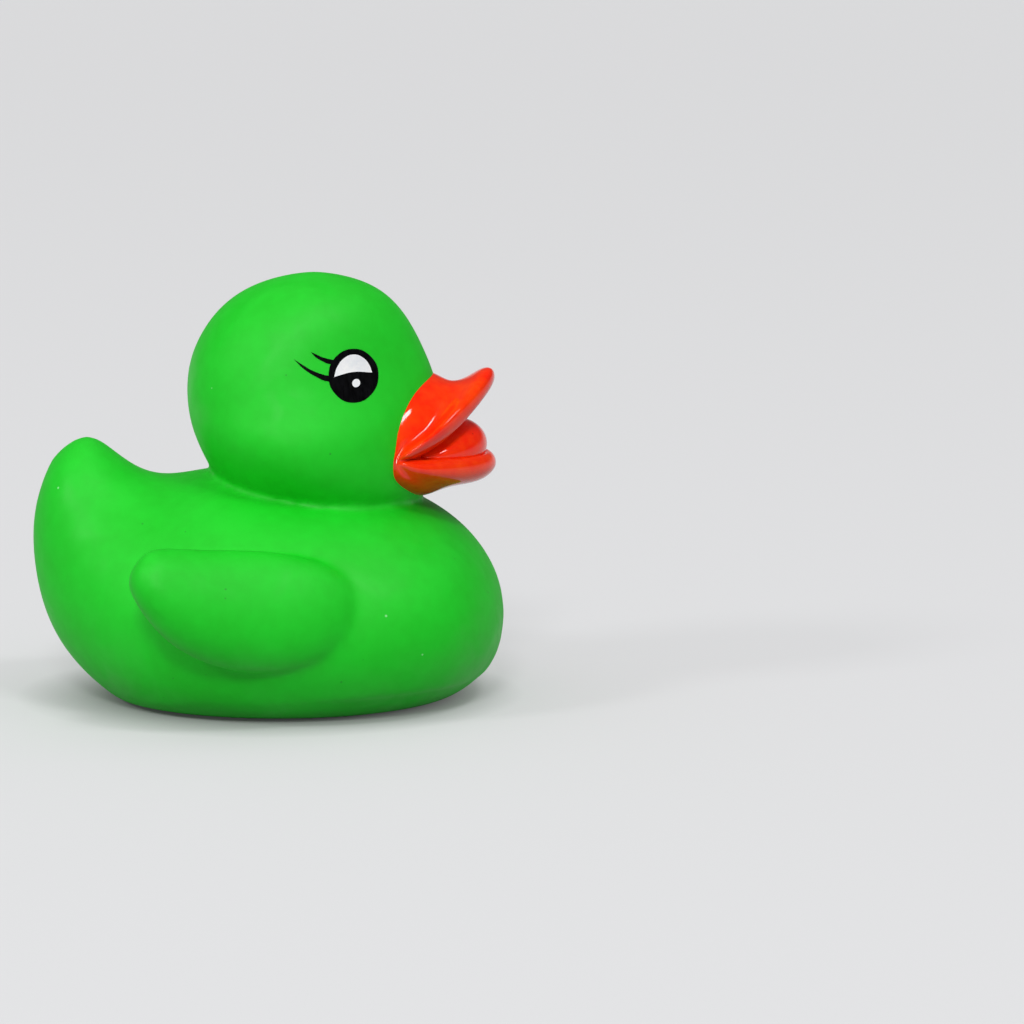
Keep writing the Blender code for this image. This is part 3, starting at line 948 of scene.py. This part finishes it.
# %% White ink
BLUISH = (0.74, 0.77, 0.80, 1)
WARM_WHITE = (0.88, 0.88, 0.87, 1)
BLACK_SHOWING = (0.30, 0.32, 0.34, 1)
SATIN = (0.30, 0.45)

white_ink, tree, spot = new_material("eye_white", specular_ior_level=0.3)
colour = effect(tree, CLOUDY, position=spot, patches=240, mottling=1500, dark=BLUISH, light=WARM_WHITE)
pinholes = effect(tree, SPECKS, position=spot, cells=900, share=0.06, size=0.14)
colour = mixed(tree, pinholes, colour, BLACK_SHOWING)
roughness = ranged(tree, noise(tree, spot, 800), SATIN, within=NOISE_SPAN)
relief = effect(tree, GRAIN, position=spot, fine=2400, wide=500)
finish(white_ink, colour, roughness, relief, microns=3)

# %% [markdown]
# ## The squeaker's plastic
# The plug and its cap are a plain milky plastic. Their mould was turned on a lathe, which left fine rings
# around the axis. The rings are too fine to model, so a Wave texture draws them into the relief.

# %% Squeaker plastic
YELLOWED = (0.68, 0.67, 0.62, 1)
MILKY_WHITE = (0.80, 0.80, 0.77, 1)
BROWN_SPECK = (0.34, 0.31, 0.26, 1)
GLOW_DEPTH = (0.001, 0.001, 0.0008)
CLEAN_TO_HANDLED = (0.38, 0.55)

milky, tree, spot = new_material("squeaker_plastic", specular_ior_level=0.4, subsurface_weight=0.1)
tree.nodes["Principled BSDF"].inputs["Subsurface Radius"].default_value = GLOW_DEPTH
colour = effect(tree, CLOUDY, position=spot, patches=190, mottling=1100, dark=YELLOWED, light=MILKY_WHITE)
dirt = effect(tree, SPECKS, position=spot, cells=700, share=0.08, size=0.12)
colour = mixed(tree, dirt, colour, BROWN_SPECK)
roughness = ranged(tree, effect(tree, MARKS, position=spot, scale=160), CLEAN_TO_HANDLED)
turning = {"Vector": spot, "Scale": 900.0, "Distortion": 0.6}
turned_rings = add(tree, "TexWave", turning, wave_type="RINGS", rings_direction="Z").outputs["Fac"]
grain = effect(tree, GRAIN, position=spot, fine=2600, wide=400)
finish(milky, colour, roughness, math_node(tree, "ADD", turned_rings, grain), microns=8)

# %% [markdown]
# ## The reed's metal
# The reed is cut from thin rolled sheet, so its grain runs in one direction. Noise that is drawn out
# along one axis gives such streaks, in the colour, the gloss and the relief alike.

# %% Reed metal
DULL_METAL = (0.46, 0.46, 0.47, 1)
METAL = (0.68, 0.68, 0.67, 1)
ROLLED = (0.05, 1.0, 1.0)
ROLLED_GLOSS = (0.24, 0.46)

metal, tree, spot = new_material("reed_metal", metallic=1.0)
rolled = stretched(tree, spot, ROLLED)
colour = effect(tree, CLOUDY, position=rolled, patches=900, mottling=4200, dark=DULL_METAL, light=METAL)
roughness = ranged(tree, noise(tree, rolled, 3000), ROLLED_GLOSS, within=NOISE_SPAN)
relief = effect(tree, GRAIN, position=rolled, fine=5200, wide=900)
finish(metal, colour, roughness, relief, microns=4)

# %% [markdown]
# ## Dressing the pieces
# Each new piece gets one finish, and rides on the CAD model's only body. The skin replaces the CAD
# shell, whose facets would show. The squeaker's shapes are right as they are, so its CAD nodes stay and
# only get a better finish.

# %% Dress the pieces
def dress(ob, material):
    """Gives a piece its only material."""
    ob.data.materials.clear()
    ob.data.materials.append(material)


NEW_FINISHES = [
    (skin, vinyl, "green_vinyl"),
    (beak, paint, "beak_paint"),
    (tongue, paint, "beak_paint"),
    (eye_black, black_ink, "eye_black"),
    (eye_white, white_ink, "eye_white"),
]
for ob, material, slot in NEW_FINISHES:
    dress(ob, material)
    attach(ob, "root")
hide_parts("duck_shell")

CAD_FINISHES = {"squeaker_plug": milky, "squeaker_cap": milky, "squeaker_reed": metal}
for node, material in CAD_FINISHES.items():
    dress(bpy.data.objects[node], material)
print("finishes:", sorted(material.name for material in bpy.data.materials if material.users))

# %% [markdown]
# ## Floor and light
# The duck stands on white paper. The paper is written darker than it looks, so that it throws less
# light up at the duck. The camera sees it with a little light of its own, directly or in a mirror, and
# more so further away. That light fades out close around the base, which paints a dark shadow of
# contact there, darker than the lamps alone cast.

# %% The paper
PAPER_SIZE = 10
PAPER_GREY = (0.37, 0.372, 0.38, 1)
GLOW_COLOUR = (0.99, 0.99, 1.0, 1)
GLOW_NEAR_TO_FAR = (0.31, 0.41)
NEAR_TO_FAR = (-0.3, 1.6)
FOOTPRINT = (0.0345, 0.0300)
PAINTED_SHADOW_SPAN = (0.8, 1.3)
GLOW_IN_PAINTED_SHADOW = 0.1


def looked_at(tree):
    """1 for what the camera sees, also in a mirror or through glass, and 0 for what only gives light."""
    rays = add(tree, "LightPath").outputs
    mirrored = math_node(tree, "MAXIMUM", rays["Is Glossy Ray"], rays["Is Transmission Ray"])
    return math_node(tree, "MAXIMUM", rays["Is Camera Ray"], mirrored)


deselect()
bpy.ops.mesh.primitive_plane_add(size=PAPER_SIZE)
floor = bpy.context.object
floor.name = "floor"
paper, tree, spot = new_material("paper", specular_ior_level=0.1, roughness=0.9, base_color=PAPER_GREY)
depth = add(tree, "SeparateXYZ", {"Vector": spot}).outputs["Y"]
strength = ranged(tree, depth, GLOW_NEAR_TO_FAR, within=NEAR_TO_FAR)
# The glow fades close around the duck's footprint, which paints a dark shadow of contact on the paper.
half_length, half_width = FOOTPRINT
in_footprints = stretched(tree, spot, (1 / half_length, 1 / half_width, 0.0))
from_middle = add(tree, "VectorMath", {0: in_footprints}, operation="LENGTH").outputs["Value"]
painted_contact_shadow = ranged(tree, from_middle, (GLOW_IN_PAINTED_SHADOW, 1.0), within=PAINTED_SHADOW_SPAN)
strength = math_node(tree, "MULTIPLY", strength, painted_contact_shadow)
strength = math_node(tree, "MULTIPLY", looked_at(tree), strength)
glow = add(tree, "Emission", {"Color": GLOW_COLOUR, "Strength": strength})
glowing = add(tree, "AddShader", {0: tree.nodes["Principled BSDF"].outputs[0], 1: glow.outputs[0]})
tree.links.new(glowing.outputs[0], tree.nodes["Material Output"].inputs["Surface"])
floor.data.materials.append(paper)
print("paper is", floor.dimensions.x, "m wide")

# %% [markdown]
# Three soft boxes light the duck: the main one above the camera, one far to the left at the same height,
# and one higher up on the right. A single box would leave one flank dark. Their mirror images are the
# streaks on the beak.

# %% The soft boxes
BOX_DISTANCE = 2.4
BOX_AIM = at(0, 0, 35)
SOFT_BOXES = [  # name, degrees to the right of the camera, degrees up, size in metres, watts
    ("left_soft_box", -60, 32, (0.5, 0.36), 13.5),
    ("front_soft_box", -4, 34, (0.45, 0.36), 20.0),
    ("right_soft_box", 38, 56, (0.55, 0.34), 12.5),
]
for name, azimuth, elevation, size, watts in SOFT_BOXES:
    turn, rise = math.radians(azimuth), math.radians(elevation)
    away = Vector((math.sin(turn) * math.cos(rise), -math.cos(turn) * math.cos(rise), math.sin(rise)))
    aim = away.to_track_quat("Z", "Y").to_euler()
    deselect()
    bpy.ops.object.light_add(type="AREA", location=away * BOX_DISTANCE + BOX_AIM, rotation=aim)
    lamp = bpy.context.object
    lamp.name = name
    lamp.data.shape = "RECTANGLE"
    lamp.data.size, lamp.data.size_y = size
    lamp.data.energy = watts
print("lights:", [name for name, *_ in SOFT_BOXES])

# %% [markdown]
# Around them is a studio. As a source of light it grows brighter upwards, which gives the soft light on
# crown and back. To the camera and to mirrors it shows a pale horizon instead, which goes on from the
# paper and darkens further up, so that the beak's gloss has something to mirror.

# %% The studio
LIGHT_LOW_TO_HIGH = (0.02, 1.0)
HORIZON_TO_DARK = (0.67, 0.08)
HORIZON_SPAN = (0.03, 0.25)
WHITE = (1, 1, 1, 1)

world = bpy.data.worlds.new("studio")
bpy.context.scene.world = world
world.use_nodes = True
sky = world.node_tree
height = add(sky, "SeparateXYZ", {"Vector": add(sky, "TexCoord").outputs["Generated"]}).outputs["Z"]
strength = ranged(sky, height, LIGHT_LOW_TO_HIGH)
lighting = add(sky, "Background", {"Color": WHITE, "Strength": strength})
horizon = ranged(sky, height, HORIZON_TO_DARK, within=HORIZON_SPAN)
seen = add(sky, "Background", {"Color": horizon})
mix = add(sky, "MixShader", {0: looked_at(sky), 1: lighting.outputs[0], 2: seen.outputs[0]})
sky.links.new(mix.outputs[0], sky.nodes["World Output"].inputs["Surface"])
bpy.context.scene.view_settings.view_transform = "Standard"
print(world.name, "has", len(sky.nodes), "nodes")
